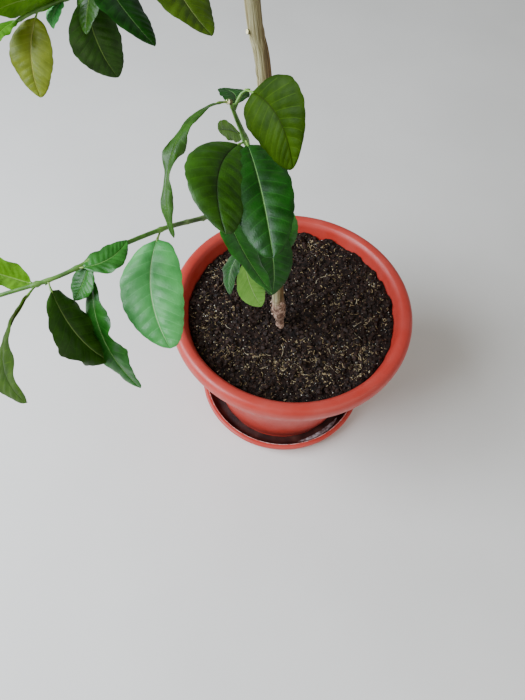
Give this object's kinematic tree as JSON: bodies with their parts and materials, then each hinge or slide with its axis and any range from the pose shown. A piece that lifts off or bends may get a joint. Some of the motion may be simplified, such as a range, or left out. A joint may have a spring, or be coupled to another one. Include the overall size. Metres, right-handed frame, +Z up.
{
  "type": "potted lemon tree",
  "caption": "Young lemon tree with one slender grafted trunk, arching side shoots and a loose crown of glossy leaves, in a tapered plastic pot of soil on a saucer.",
  "frame": {"origin": "centre of the saucer's flat underside, where the tree stands on the floor", "axes": "+Z up from the floor; -Y toward the side that the picture looks from; +X to the right in the picture"},
  "size_m": [0.6348, 0.661, 1.4759],
  "materials": {
    "saucer_plastic": "satin moulded terracotta-red plastic, a little dusty",
    "pot_plastic": "satin moulded terracotta-red plastic",
    "soil": "loose dark potting mix with pale flecks and fibres",
    "bark": "grey-green young bark with fine lengthwise striations",
    "green_bark": "smooth green bark of young shoots",
    "leaf": "glossy dark green leaves, paler beneath"
  },
  "bodies": {
    "root": {"saucer": "saucer_plastic", "pot": "pot_plastic", "soil": "soil", "trunk": "bark", "bough_low": "green_bark", "foliage_low": "leaf", "bough_side": "green_bark", "foliage_side": "leaf", "bough_left": "green_bark", "foliage_left": "leaf", "bough_crown_1": "green_bark", "foliage_crown_1": "leaf", "bough_crown_2": "green_bark", "foliage_crown_2": "leaf", "bough_crown_3": "green_bark", "foliage_crown_3": "leaf", "bough_crown_4": "green_bark", "foliage_crown_4": "leaf", "bough_crown_5": "green_bark", "foliage_crown_5": "leaf", "bough_crown_6": "green_bark", "foliage_crown_6": "leaf", "bough_crown_7": "green_bark", "foliage_crown_7": "leaf", "bough_crown_8": "green_bark", "foliage_crown_8": "leaf", "foliage_top": "leaf"}
  },
  "joints": []
}
